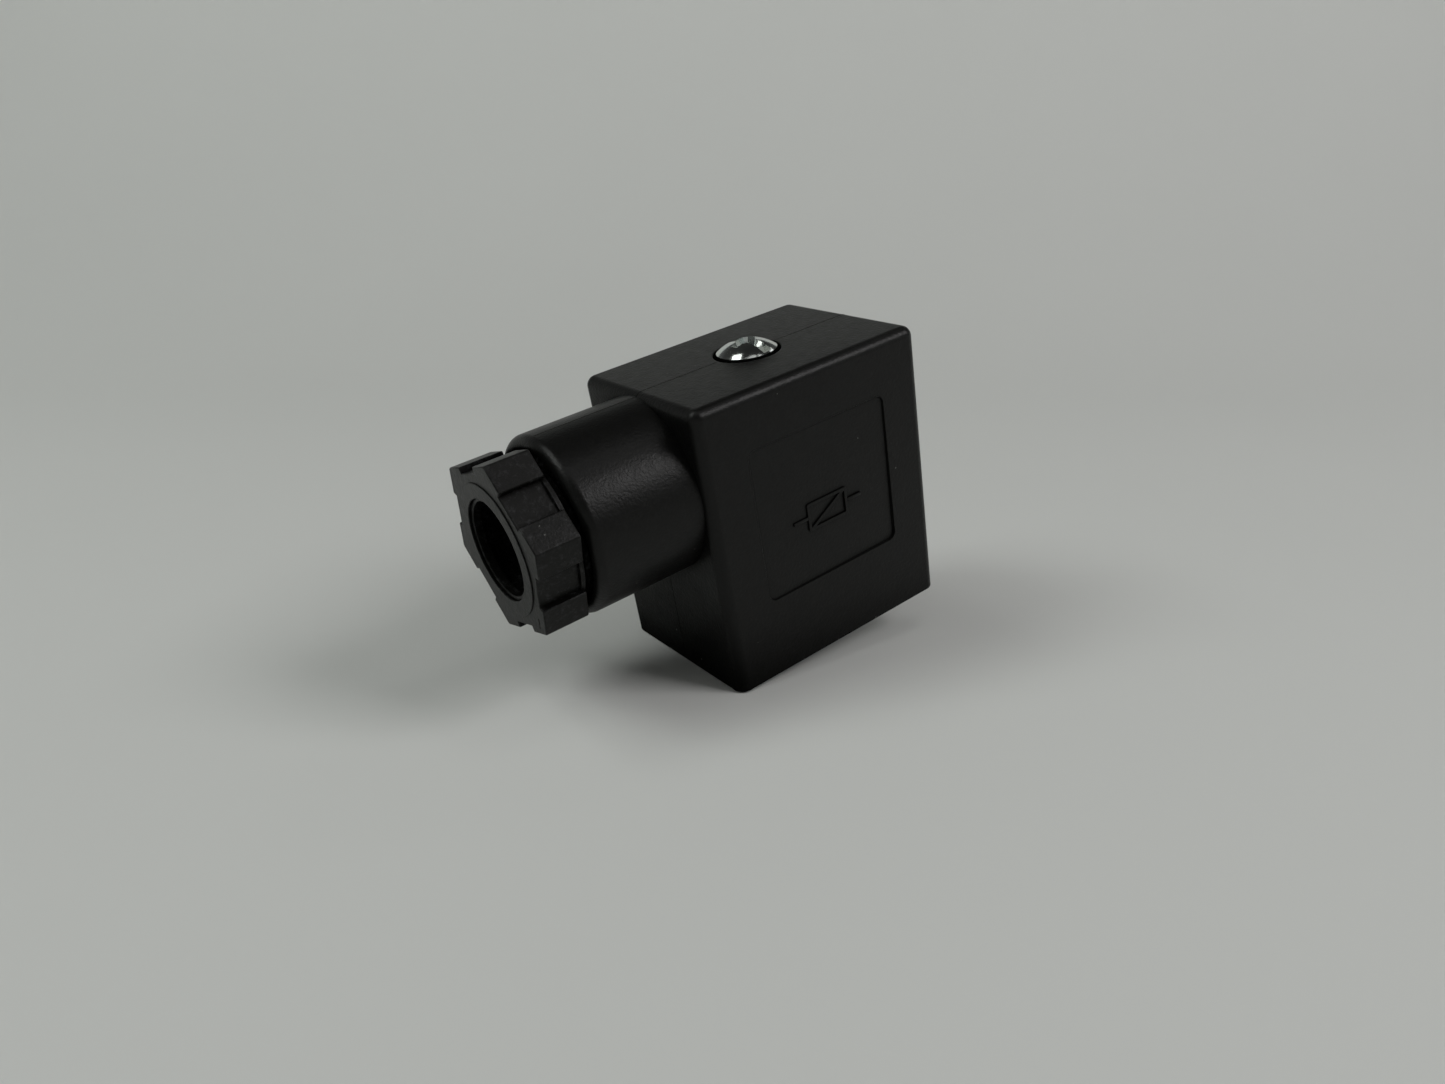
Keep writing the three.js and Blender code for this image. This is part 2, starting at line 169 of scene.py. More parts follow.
def plane_map(axis, centre=(0, 0, 0)):
    """Places a shape drawn in XY and raised along Z so that it is raised along the given axis."""
    if axis == "X":
        basis = Matrix(((0, 0, 1), (1, 0, 0), (0, 1, 0)))
    elif axis == "-Y":
        basis = Matrix(((1, 0, 0), (0, 0, -1), (0, 1, 0)))
    else:
        basis = Matrix.Identity(3)
    return Matrix.Translation(Vector(centre)) @ basis.to_4x4()


def loft(rings, place, closed=True):
    """A skin over rings of points. The first and last rings are capped, or joined if not closed."""
    bm = bmesh.new()
    loops = []
    for ring in rings:
        loops.append([bm.verts.new(place @ Vector(point)) for point in ring])
    count = len(loops[0])
    pairs = list(zip(loops, loops[1:]))
    if not closed:
        pairs.append((loops[-1], loops[0]))
    for low, high in pairs:
        for i in range(count):
            j = (i + 1) % count
            bm.faces.new((low[i], low[j], high[j], high[i]))
    if closed:
        bm.faces.new(loops[0])
        bm.faces.new(loops[-1])
    return from_bmesh(bm)


def turned(profile, axis="Z", centre=(0, 0, 0), sides=96, ring=False):
    """A profile of (radius, height) pairs turned about an axis.

    A ring's profile closes on itself.
    """
    angles = [2 * math.pi * i / sides for i in range(sides)]
    circle = [(math.cos(angle), math.sin(angle)) for angle in angles]
    rings = [[(radius * c, radius * s, height) for c, s in circle] for radius, height in profile]
    return loft(rings, plane_map(axis, centre), closed=not ring)


def rod(radius, low, high, axis="Z", centre=(0, 0, 0), sides=96):
    return turned([(radius, low), (radius, high)], axis, centre, sides)


def arc(centre, radius, start, end, steps):
    """Points on an arc, with the angles in degrees."""
    points = []
    for i in range(steps + 1):
        angle = math.radians(start + (end - start) * i / steps)
        points.append((centre[0] + radius * math.cos(angle), centre[1] + radius * math.sin(angle)))
    return points


def rounded_rect(half_x, half_y, radius, steps=8, centre=(0, 0)):
    x, y = half_x - radius, half_y - radius
    points = []
    for sx, sy, start in ((1, 1, 0), (-1, 1, 90), (-1, -1, 180), (1, -1, 270)):
        points += arc((centre[0] + sx * x, centre[1] + sy * y), radius, start, start + 90, steps)
    return points


def prism(outline, low, high, axis="Z", centre=(0, 0, 0), edge=0.0, steps=2):
    """An outline raised from low to high. Edge rounds the borders of both ends."""
    bm = bmesh.new()
    place = plane_map(axis, centre)
    bottom = [bm.verts.new(place @ Vector((x, y, low))) for x, y in outline]
    top = [bm.verts.new(place @ Vector((x, y, high))) for x, y in outline]
    count = len(outline)
    for i in range(count):
        j = (i + 1) % count
        bm.faces.new((bottom[i], bottom[j], top[j], top[i]))
    caps = [bm.faces.new(bottom), bm.faces.new(top)]
    bmesh.ops.recalc_face_normals(bm, faces=bm.faces)
    if edge:
        rims = [e for cap in caps for e in cap.edges]
        bmesh.ops.bevel(bm, geom=rims, offset=edge, segments=steps, profile=0.5, affect="EDGES",
                        clamp_overlap=True)
    return from_bmesh(bm)


def block(low, high, edge=0.0):
    """A box between two corners. Edge rounds all its edges."""
    bm = bmesh.new()
    bmesh.ops.create_cube(bm, size=1.0)
    size = Vector(high) - Vector(low)
    middle = (Vector(high) + Vector(low)) / 2
    for vert in bm.verts:
        vert.co = Vector((vert.co.x * size.x, vert.co.y * size.y, vert.co.z * size.z)) + middle
    if edge:
        bmesh.ops.bevel(bm, geom=bm.edges[:], offset=edge, segments=2, profile=0.5, affect="EDGES",
                        clamp_overlap=True)
    return from_bmesh(bm)


def threaded(core_r, crest_r, pitch, low, high, axis="Z", centre=(0, 0, 0), sides=64, rows=10):
    """A right-handed thread as a cylinder whose radius follows a helix, fading out at both ends."""
    place = plane_map(axis, centre)
    count = max(2, int(round((high - low) / pitch * rows)))
    fade = pitch * THREAD_FADE
    rings = []
    for k in range(count + 1):
        height = low + (high - low) * k / count
        ends = min(1.0, (height - low) / fade, (high - height) / fade)
        ring = []
        for i in range(sides):
            turn = i / sides
            phase = (height / pitch - turn) % 1.0
            ridge = max(0.0, min(1.0, 2.0 * (1.0 - abs(2.0 * phase - 1.0)) - THREAD_FLAT))
            radius = core_r + (crest_r - core_r) * ridge * max(0.0, ends)
            angle = 2 * math.pi * turn
            ring.append((radius * math.cos(angle), radius * math.sin(angle), height))
        rings.append(ring)
    return loft(rings, place)


def soften(obj, width, steps, angle):
    """Rounds every edge that is sharper than the angle, in degrees."""
    modifier = obj.modifiers.new("bevel", "BEVEL")
    modifier.width = width
    modifier.segments = steps
    modifier.limit_method = "ANGLE"
    modifier.angle_limit = math.radians(angle)
    modifier.use_clamp_overlap = True
    modifier.miter_outer = "MITER_ARC"
    return bake(obj)


def close_mesh(mesh):
    """Welds the crumbs that the cuts leave, and fills slivers that they leave open."""
    bm = bmesh.new()
    bm.from_mesh(mesh)
    bmesh.ops.remove_doubles(bm, verts=bm.verts, dist=WELD)
    bmesh.ops.dissolve_degenerate(bm, edges=bm.edges, dist=CRUMB)
    wires = [edge for edge in bm.edges if not edge.link_faces]
    bmesh.ops.delete(bm, geom=wires, context="EDGES")
    lonely = [vert for vert in bm.verts if not vert.link_edges]
    bmesh.ops.delete(bm, geom=lonely, context="VERTS")
    trial = bm.copy()
    bmesh.ops.triangulate(trial, faces=trial.faces)
    closed = all(len(edge.link_faces) == 2 for edge in trial.edges)
    trial.free()
    if not closed:
        bmesh.ops.triangulate(bm, faces=[face for face in bm.faces if len(face.verts) > 4])
        borders = [edge for edge in bm.edges if edge.is_boundary]
        bmesh.ops.holes_fill(bm, edges=borders, sides=SLIVER_SIDES)
        bmesh.ops.recalc_face_normals(bm, faces=bm.faces)
    bm.to_mesh(mesh)
    bm.free()


def finish_piece(obj, name, nodes, body, material, smooth=35):
    """Names a piece, gives it its material and lets it ride in place of its CAD nodes.

    Smooth is the angle, in degrees, from which an edge is drawn sharp.
    """
    mesh = obj.data
    close_mesh(mesh)
    mesh.transform(Matrix.Scale(MM, 4))
    mesh.materials.clear()
    mesh.materials.append(material)
    mesh.shade_smooth()
    mesh.set_sharp_from_angle(angle=math.radians(smooth))
    obj.name = name
    mesh.name = name
    weighted = obj.modifiers.new("weighted normals", "WEIGHTED_NORMAL")
    weighted.keep_sharp = True
    weighted.weight = NORMAL_WEIGHT
    triangles = obj.modifiers.new("triangles", "TRIANGULATE")
    triangles.keep_custom_normals = True
    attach(obj, body)
    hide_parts(*nodes)
    return obj


# ---------------------------------------------------------------- materials

# Noise scales are waves a metre. Heights and distances in a material are metres.
CLOUD_SCALE = 220.0
CLOUD_TONE = (0.82, 1.2)
RUB_SCALE = 900.0
RUB_ROUGHNESS = 0.18
FINE_GRAIN_SCALE = 3800.0
COARSE_GRAIN_SCALE = 2600.0
COARSE_GRAIN_SHARE = 0.6
GRAIN_HEIGHT = 0.000012
SPECK_CELLS = 520.0
SPECK_R = 0.045
SPECK_PATCH_SCALE = 300.0
SPECK_PATCH_LEVEL = 0.54
SPECK_COLOUR = (0.09, 0.09, 0.085)
SCUFF_SCALE = 1500.0
SCUFF_RANGE = (0.52, 0.7)
SCUFF_COLOUR = (0.07, 0.07, 0.074)
# Painted shade: how far the ambient occlusion looks, and the levels between which it turns the
# gloss down in corners.
OCCLUSION_REACH = 0.012
OCCLUSION_RANGE = (0.48, 0.92)
FULL_GLOSS = 0.5
BUMP_STRENGTH = 0.6
RUBBER_GRAIN_SCALE = 7000.0
RUBBER_GRAIN_HEIGHT = 0.00002
BLOOM_SCALE = 400.0
DRIFT_SCALE = 500.0
PIT_SCALE = 6000.0
PIT_DEPTH = 0.000006
PIT_STRENGTH = 0.5
PIT_ROUGHNESS = (-0.05, 0.08)
TURNING_SCALE = 900.0
TURNING_WOBBLE = 3.0


class Nodes:
    """Short calls for a material's node tree."""

    def __init__(self, name):
        self.material = bpy.data.materials.new(name)
        self.material.use_nodes = True
        self.tree = self.material.node_tree
        self.shader = self.tree.nodes["Principled BSDF"]
        self.coords = self.add("ShaderNodeTexCoord").outputs["Object"]

    def add(self, kind, **values):
        node = self.tree.nodes.new(kind)
        for key, value in values.items():
            setattr(node, key, value)
        return node

    def link(self, source, target):
        self.tree.links.new(source, target)

    def noise(self, scale, detail=3.0, roughness=0.55):
        node = self.add("ShaderNodeTexNoise")
        node.inputs["Scale"].default_value = scale
        node.inputs["Detail"].default_value = detail
        node.inputs["Roughness"].default_value = roughness
        self.link(self.coords, node.inputs["Vector"])
        return node.outputs["Fac"]

    def ramp(self, source, stops):
        node = self.add("ShaderNodeValToRGB")
        elements = node.color_ramp.elements
        while len(elements) < len(stops):
            elements.new(0.5)
        for element, (position, colour) in zip(elements, stops):
            element.position = position
            rgb = colour if isinstance(colour, tuple) else (colour, colour, colour)
            element.color = (*rgb, 1.0)
        self.link(source, node.inputs["Fac"])
        return node.outputs["Color"]

    def span(self, source, low, high):
        """Maps 0 to 1 onto low to high."""
        node = self.add("ShaderNodeMapRange")
        node.inputs["To Min"].default_value = low
        node.inputs["To Max"].default_value = high
        self.link(source, node.inputs["Value"])
        return node.outputs["Result"]

    def mix(self, factor, first, second):
        node = self.add("ShaderNodeMix", data_type="RGBA")
        self.link(factor, node.inputs["Factor"])
        for value, socket in ((first, node.inputs[6]), (second, node.inputs[7])):
            if isinstance(value, tuple):
                socket.default_value = (*value, 1.0)
            else:
                self.link(value, socket)
        return node.outputs[2]

    def maths(self, operation, first, second):
        node = self.add("ShaderNodeMath", operation=operation)
        for value, socket in ((first, node.inputs[0]), (second, node.inputs[1])):
            if isinstance(value, (int, float)):
                socket.default_value = value
            else:
                self.link(value, socket)
        return node.outputs[0]

    def bump(self, source, distance, strength=BUMP_STRENGTH):
        node = self.add("ShaderNodeBump")
        node.inputs["Strength"].default_value = strength
        node.inputs["Distance"].default_value = distance
        self.link(source, node.inputs["Height"])
        return node.outputs["Normal"]

    def set(self, **values):
        """Sets the shader's inputs, each to a number, a colour or another node's output."""
        for key, value in values.items():
            socket = self.shader.inputs[key.replace("_", " ")]
            if isinstance(value, tuple):
                socket.default_value = (*value, 1.0)
            elif isinstance(value, (int, float)):
                socket.default_value = value
            else:
                self.link(value, socket)


def moulded_plastic(name, colour, roughness, index, grain, specks=True, scuffs=0.0):
    """Black polyamide: fine grain, cloudy gloss, rubbed patches and a few pale specks.

    An ambient occlusion node turns the gloss down in deep corners and near other surfaces, as
    painted shade.
    """
    n = Nodes(name)
    cloud = n.noise(CLOUD_SCALE, 4.0)
    rubbed = n.noise(RUB_SCALE, 5.0, 0.65)
    fine = n.noise(FINE_GRAIN_SCALE, 2.0)
    coarse = n.noise(COARSE_GRAIN_SCALE, 2.0)
    tone = n.span(cloud, *CLOUD_TONE)
    base = n.add("ShaderNodeVectorMath", operation="SCALE")
    base.inputs[0].default_value = colour
    n.link(tone, base.inputs["Scale"])
    result = base.outputs["Vector"]
    if specks:
        dots = n.add("ShaderNodeTexVoronoi")
        dots.inputs["Scale"].default_value = SPECK_CELLS
        n.link(n.coords, dots.inputs["Vector"])
        near = n.maths("LESS_THAN", dots.outputs["Distance"], SPECK_R)
        rare = n.maths("GREATER_THAN", n.noise(SPECK_PATCH_SCALE, 1.0), SPECK_PATCH_LEVEL)
        result = n.mix(n.maths("MULTIPLY", near, rare), result, SPECK_COLOUR)
    if scuffs:
        faint, full = SCUFF_RANGE
        marks = n.ramp(n.noise(SCUFF_SCALE, 6.0, 0.8), [(faint, 0.0), (full, scuffs)])
        result = n.mix(marks, result, SCUFF_COLOUR)
    worn = n.maths("MULTIPLY_ADD", rubbed, RUB_ROUGHNESS)
    worn.node.inputs[2].default_value = roughness - RUB_ROUGHNESS / 2
    height = n.maths("ADD", fine, n.maths("MULTIPLY", coarse, COARSE_GRAIN_SHARE))
    # Painted shade: ambient occlusion lowers the gloss in deep corners and near other surfaces.
    corner_occlusion = n.add("ShaderNodeAmbientOcclusion", samples=8)
    corner_occlusion.inputs["Distance"].default_value = OCCLUSION_REACH
    dark, clear = OCCLUSION_RANGE
    shine = n.ramp(corner_occlusion.outputs["AO"], [(dark, 0.0), (clear, FULL_GLOSS)])
    n.set(Base_Color=result, Roughness=worn, IOR=index, Normal=n.bump(height, GRAIN_HEIGHT * grain),
          Specular_IOR_Level=shine)
    return n.material


def dull_rubber(name):
    """Black rubber with a fine grain and a faint bloom."""
    n = Nodes(name)
    grain = n.noise(RUBBER_GRAIN_SCALE, 3.0)
    bloom = n.noise(BLOOM_SCALE, 3.0)
    n.set(Base_Color=n.ramp(bloom, [(0.3, 0.008), (0.75, 0.02)]),
          Roughness=n.span(bloom, 0.62, 0.82), Normal=n.bump(grain, RUBBER_GRAIN_HEIGHT))
    return n.material


def plated_metal(name, low, high, roughness, streaks=0.05):
    """Bright plated steel: faint colour drift, fine turning marks and pits."""
    n = Nodes(name)
    drift = n.noise(DRIFT_SCALE, 3.0)
    pits = n.noise(PIT_SCALE, 4.0, 0.7)
    turning = n.add("ShaderNodeTexWave", wave_type="RINGS", rings_direction="Z")
    turning.inputs["Scale"].default_value = TURNING_SCALE
    turning.inputs["Distortion"].default_value = TURNING_WOBBLE
    n.link(n.coords, turning.inputs["Vector"])
    smooth, rough = PIT_ROUGHNESS
    gloss = n.maths("ADD", n.span(pits, roughness + smooth, roughness + rough),
                    n.maths("MULTIPLY", turning.outputs["Fac"], streaks))
    n.set(Base_Color=n.mix(drift, low, high), Metallic=1.0, Roughness=gloss,
          Normal=n.bump(pits, PIT_DEPTH, PIT_STRENGTH))
    return n.material


# Each plastic's colour, roughness, refractive index and depth of grain.
HOUSING_LOOK = moulded_plastic("housing plastic", (0.0042, 0.0042, 0.0039), 0.37, 1.3, 3.8,
                               scuffs=0.04)
NUT_LOOK = moulded_plastic("gland plastic", (0.0034, 0.0033, 0.0029), 0.39, 1.3, 3.5,
                           scuffs=0.38)
INSERT_LOOK = moulded_plastic("insert plastic", (0.008, 0.008, 0.0085), 0.4, 1.45, 0.3,
                              specks=False)
RUBBER_LOOK = dull_rubber("nitrile rubber")
ZINC_LOOK = plated_metal("zinc plate", (0.66, 0.73, 0.77), (0.78, 0.76, 0.70), 0.09, 0.03)
STEEL_LOOK = plated_metal("plated steel", (0.6, 0.61, 0.62), (0.68, 0.66, 0.6), 0.24)
TIN_LOOK = plated_metal("tin plate", (0.6, 0.58, 0.52), (0.68, 0.63, 0.5), 0.38)
SPRING_LOOK = plated_metal("spring steel", (0.42, 0.42, 0.43), (0.5, 0.49, 0.47), 0.3)
WASHER_LOOK = moulded_plastic("washer plastic", (0.006, 0.006, 0.006), 0.5, 1.4, 0.3,
                              specks=False)

# ---------------------------------------------------------------- housing

WALL = 1.6
ROOF = 1.8
SIDE_EDGE_R = 1.15
TOP_EDGE_R = 1.05
LOWER_EDGE_R = 0.15
RIM_DEPTH = 1.6
RIM_WALL = 0.9
BOSS_R = 8.97
BOSS_RIM_R = 0.95
BORE_R = 7.4
SEAT_X = -13.6
ENTRY_R = 5.0
PG9_PITCH = 1.41
BOSS_THREAD = (0.3, 8.5)
THREAD_ROOT = 0.12
THREAD_CREST = 0.3
MOUTH_CHAMFER = 0.55
CAVITY_CORNER_R = 0.6
PILLAR_R = 5.05
COUNTERBORE_R = 3.45
COUNTERBORE_FLOOR = 25.3
COUNTERBORE_EDGE_R = 0.18
WEB_Z = 23.8
SHANK_HOLE_R = 1.8
PANEL_HALF = (8.5, 8.0)
PANEL_Z = 16.4
PANEL_DEPTH = 0.18
PANEL_TILT = 0.006
PANEL_CORNER_R = 0.8
PANEL_SLOPE = 0.08
SYMBOL_HALF = (2.6, 1.5)
SYMBOL_LINE = 0.32
SYMBOL_LEAD = 1.8
SYMBOL_RISE = 0.18
SYMBOL_EDGE = 0.04
SYMBOL_DROP = 1.2
SEAM_WIDTH = 0.11
SEAM_HEIGHT = 0.018

HOUSE_X = HOUSE_HI.x
HOUSE_Y = HOUSE_HI.y
HOUSE_Z = HOUSE_HI.z
BOSS_X = HOUSE_LO.x
GLAND_AXIS = (0, 0, GLAND_Z)


def rounded_shell(half_x, half_y, top, side_r, top_r):
    """A block standing on z = 0, with rounded upright and upper edges and a broken lower edge."""
    bend = LOWER_EDGE_R * 0.3
    rings = [(LOWER_EDGE_R, 0.0), (bend, bend), (0.0, LOWER_EDGE_R)]
    for out, up in arc((0.0, top - top_r), top_r, 0, 90, 8):
        rings.append((top_r - out, up))
    loops = []
    for inset, height in rings:
        outline = rounded_rect(half_x - inset, half_y - inset, max(side_r - inset, 0.05), 8)
        loops.append([(x, y, height) for x, y in outline])
    return loft(loops, plane_map("Z"))


def boss_profile():
    """Half section of the gland boss, from inside the wall out to its rounded rim."""
    start = -HOUSE_X + WALL / 2
    rim = [(BOSS_R - BOSS_RIM_R + out, BOSS_X + BOSS_RIM_R - up)
           for out, up in arc((0, 0), BOSS_RIM_R, 0, 90, 8)]
    return [(BOSS_R, start)] + rim + [(BORE_R - 0.5, BOSS_X)]


def seam():
    """The raised mould line round the middle of the housing and along the gland boss."""
    h = SEAM_HEIGHT
    body = rounded_rect(HOUSE_X + h, HOUSE_Z / 2 + h, TOP_EDGE_R, centre=(0, HOUSE_Z / 2))
    boss = [(BOSS_X + BOSS_RIM_R, GLAND_Z - BOSS_R - h), (0, GLAND_Z - BOSS_R - h),
            (0, GLAND_Z + BOSS_R + h), (BOSS_X + BOSS_RIM_R, GLAND_Z + BOSS_R + h)]
    half = SEAM_WIDTH / 2
    around = prism(body, -half, half, "-Y")
    return cut(union(around, prism(boss, -half, half, "-Y")),
               block((-40, -2, -2), (40, 2, 2 * LOWER_EDGE_R)))


def panel_cutter():
    """The shallow panel's space, with sloping sides.

    Its floor is deepest at the lower corner away from the gland.
    """
    loops = []
    for floor, above, grow in ((1, 0.0, 0.0), (0, 0.0, PANEL_SLOPE), (0, CUT, PANEL_SLOPE)):
        outline = rounded_rect(PANEL_HALF[0] + grow, PANEL_HALF[1] + grow, PANEL_CORNER_R + grow, 8)
        loops.append([(x, y, HOUSE_Y + above - floor * (PANEL_DEPTH + PANEL_TILT * (x - y)))
                      for x, y in outline])
    return loft(loops, plane_map("-Y", (0, 0, PANEL_Z)))


def panel_symbol():
    """A generic coil symbol, a crossed box with two leads, raised from the panel's floor."""
    half_w, half_h = SYMBOL_HALF
    line = SYMBOL_LINE
    floor = HOUSE_Y - PANEL_DEPTH - 0.1
    top = HOUSE_Y - PANEL_DEPTH + SYMBOL_RISE
    centre = (0, 0, PANEL_Z - SYMBOL_DROP)
    outer = prism(rounded_rect(half_w, half_h, 0.25), floor, top, "-Y", centre, SYMBOL_EDGE)
    inner = prism(rounded_rect(half_w - line, half_h - line, 0.1), floor - CUT, top + CUT, "-Y",
                  centre)
    border = cut(outer, inner)
    lean = math.atan2(half_h, half_w)
    along, across = math.hypot(half_w, half_h) - line, line / 2
    corners = ((-along, -across), (along, -across), (along, across), (-along, across))
    bar = [(x * math.cos(lean) - y * math.sin(lean), x * math.sin(lean) + y * math.cos(lean))
           for x, y in corners]
    parts = [prism(bar, floor, top, "-Y", centre, SYMBOL_EDGE)]
    for side in (-1, 1):
        near, far = side * half_w, side * (half_w + SYMBOL_LEAD)
        lead = [(near, -across), (far, -across), (far, across), (near, across)]
        parts.append(prism(lead, floor, top, "-Y", centre, SYMBOL_EDGE))
    return union(border, *parts)


def counterbore_cutter():
    """The space round the screw head, with a rounded mouth."""
    edge = COUNTERBORE_EDGE_R
    top = HOUSE_Z
    profile = [(COUNTERBORE_R, COUNTERBORE_FLOOR), (COUNTERBORE_R, top - edge)]
    profile += [(COUNTERBORE_R + edge - out, top - edge + up)
                for out, up in arc((0, 0), edge, 0, 90, 4)]
    return turned(profile + [(COUNTERBORE_R + edge, top + CUT)])


def make_housing():
    shell = rounded_shell(HOUSE_X, HOUSE_Y, HOUSE_Z, SIDE_EDGE_R, TOP_EDGE_R)
    boss = turned(boss_profile(), "X", GLAND_AXIS, sides=128)
    outside = union(shell, boss, seam())
    cavity = prism(rounded_rect(HOUSE_X - WALL, HOUSE_Y - WALL, CAVITY_CORNER_R),
                   -CUT, HOUSE_Z - ROOF)
    rim = prism(rounded_rect(HOUSE_X - RIM_WALL, HOUSE_Y - RIM_WALL, CAVITY_CORNER_R),
                -CUT, RIM_DEPTH)
    hollow = cut(outside, cavity, rim)
    with_pillar = union(hollow, rod(PILLAR_R, WEB_Z, HOUSE_Z - ROOF / 2))
    mouth = turned([(BORE_R + MOUTH_CHAMFER, BOSS_X - CUT), (BORE_R + MOUTH_CHAMFER, BOSS_X),
                    (BORE_R, BOSS_X + MOUTH_CHAMFER), (BORE_R, BOSS_X + 1.2)], "X", GLAND_AXIS)
    start, end = BOSS_THREAD
    thread = threaded(BORE_R - THREAD_ROOT, BORE_R + THREAD_CREST, PG9_PITCH, BOSS_X + start,
                      BOSS_X + end, "X", GLAND_AXIS, 96)
    bore = rod(BORE_R - THREAD_ROOT, BOSS_X - CUT, SEAT_X, "X", GLAND_AXIS)
    entry = rod(ENTRY_R, SEAT_X - CUT, -HOUSE_X + WALL + CUT, "X", GLAND_AXIS)
    hole = rod(SHANK_HOLE_R, WEB_Z - CUT, COUNTERBORE_FLOOR + CUT)
    housing = cut(with_pillar, counterbore_cutter(), hole, bore, thread, mouth, entry,
                  panel_cutter())
    housing = union(housing, panel_symbol())
    return finish_piece(housing, "housing_shell", ["housing"], "housing",
                        HOUSING_LOOK)


make_housing()

# ---------------------------------------------------------------- cable gland

NUT_FLATS = 16.0
NUT_HEX_REAR = -26.2
NUT_FACE = NUT_LO.x
NUT_SLEEVE_END = NUT_HI.x
NUT_CORNER_ANGLE = 45.0
RECESS_WIDTH = 3.55
RECESS_DEPTH = 0.6
NUT_MOUTH_R = 5.05
NUT_LIP_R = 4.68
NUT_LIP_DEPTH = 0.28
NUT_MOUTH_DEPTH = 1.1
NUT_SLEEVE_R = 7.0
NUT_SLEEVE_BORE = 5.6
NUT_DISC_R = 6.55
NUT_DISC_STEP = 0.12
NUT_EDGE = 0.13
NUT_CORNER = 0.14
NUT_MOUTH_EDGE = 0.06
RECESS_EDGE = 0.08
RECESS_SLOPE = 0.05
COLLAR_R = 7.72
DASH_DISTANCE = 7.95
DASH_HALF = (0.6, 0.08)
DASH_DEPTH = 0.1
WASHER_R = (4.6, 6.9)
GROMMET_R = (3.3, 6.7)
GROMMET_RIBS = 8
GROMMET_RIB_HEIGHT = 0.28


def nut_outline():
    """A hexagon with a shallow channel along each flat and broken corners."""
    apothem = NUT_FLATS / 2
    half_side = apothem * math.tan(math.pi / 6) - NUT_CORNER
    mouth, floor = RECESS_WIDTH / 2, RECESS_WIDTH / 2 - RECESS_SLOPE
    points = []
    for i in range(6):
        turn = math.radians(NUT_CORNER_ANGLE + 30 + 60 * i)
        side = [(apothem, -half_side), (apothem, -mouth - RECESS_EDGE),
                (apothem - RECESS_EDGE, -mouth), (apothem - RECESS_DEPTH, -floor),
                (apothem - RECESS_DEPTH, floor), (apothem - RECESS_EDGE, mouth),
                (apothem, mouth + RECESS_EDGE), (apothem, half_side)]
        for out, along in side:
            points.append((out * math.cos(turn) - along * math.sin(turn),
                           out * math.sin(turn) + along * math.cos(turn)))
    return points


def nut_dash():
    """The small moulded dash on the face, near one corner."""
    angle = math.radians(NUT_CORNER_ANGLE + 180)
    middle = Vector((0, math.cos(angle), math.sin(angle))) * DASH_DISTANCE + Vector(GLAND_AXIS)
    along = Vector((0, -0.25, 0.97)).normalized()
    across = Vector((0, 0.97, 0.25)).normalized()
    length, width = DASH_HALF
    outline = []
    for a, b in ((-length, -width), (length, -width), (length, width), (-length, width)):
        point = middle + along * a + across * b
        outline.append((point.y, point.z))
    return prism(outline, NUT_FACE - CUT, NUT_FACE + NUT_DISC_STEP + DASH_DEPTH, "X")


def make_nut():
    front, rear = NUT_FACE + NUT_DISC_STEP, NUT_HEX_REAR
    hexagon = prism(nut_outline(), front, rear, "X", GLAND_AXIS, NUT_EDGE, 3)
    disc = turned([(NUT_DISC_R - 0.5, front + 0.5), (NUT_DISC_R, front + 0.2),
                   (NUT_DISC_R, front - 0.06), (NUT_DISC_R - 0.05, NUT_FACE),
                   (NUT_MOUTH_R - 0.5, NUT_FACE)], "X", GLAND_AXIS)
    collar = turned([(COLLAR_R - 0.72, rear - 0.5), (COLLAR_R, rear - 0.3), (COLLAR_R, rear + 0.12),
                     (COLLAR_R - 0.12, rear + 0.2), (COLLAR_R - 1.72, rear + 0.2)],
                    "X", GLAND_AXIS)
    sleeve = threaded(NUT_SLEEVE_R - 0.45, NUT_SLEEVE_R + 0.12, PG9_PITCH, rear - 1.0,
                      NUT_SLEEVE_END, "X", GLAND_AXIS, 96, 12)
    nut = union(hexagon, disc, collar, sleeve)
    edge = NUT_MOUTH_EDGE
    lip = NUT_FACE + NUT_LIP_DEPTH
    mouth = turned([(NUT_MOUTH_R + edge, NUT_FACE - CUT), (NUT_MOUTH_R + edge, NUT_FACE),
                    (NUT_MOUTH_R, NUT_FACE + edge), (NUT_MOUTH_R, lip), (NUT_LIP_R + edge, lip),
                    (NUT_LIP_R, lip + edge), (NUT_LIP_R, NUT_FACE + NUT_MOUTH_DEPTH + 0.2)],
                   "X", GLAND_AXIS)
    bore = rod(NUT_SLEEVE_BORE, NUT_FACE + NUT_MOUTH_DEPTH, NUT_SLEEVE_END + CUT, "X", GLAND_AXIS)
    nut = cut(nut, mouth, bore, nut_dash())
    return finish_piece(nut, "pressing_screw", ["gland_nut"], "gland_nut",
                        NUT_LOOK)


def ring_profile(inner, outer, low, high, edge):
    """A closed section with its four corners rounded."""
    half_r, half_h = (outer - inner) / 2, (high - low) / 2
    return rounded_rect(half_r, half_h, edge, 4, ((inner + outer) / 2, (low + high) / 2))


def make_washer():
    section = ring_profile(*WASHER_R, WASHER_LO.x, WASHER_HI.x, 0.15)
    washer = turned(section, "X", GLAND_AXIS, ring=True)
    return finish_piece(washer, "gland_washer", ["thrust_washer"], "thrust_washer",
                        WASHER_LOOK)


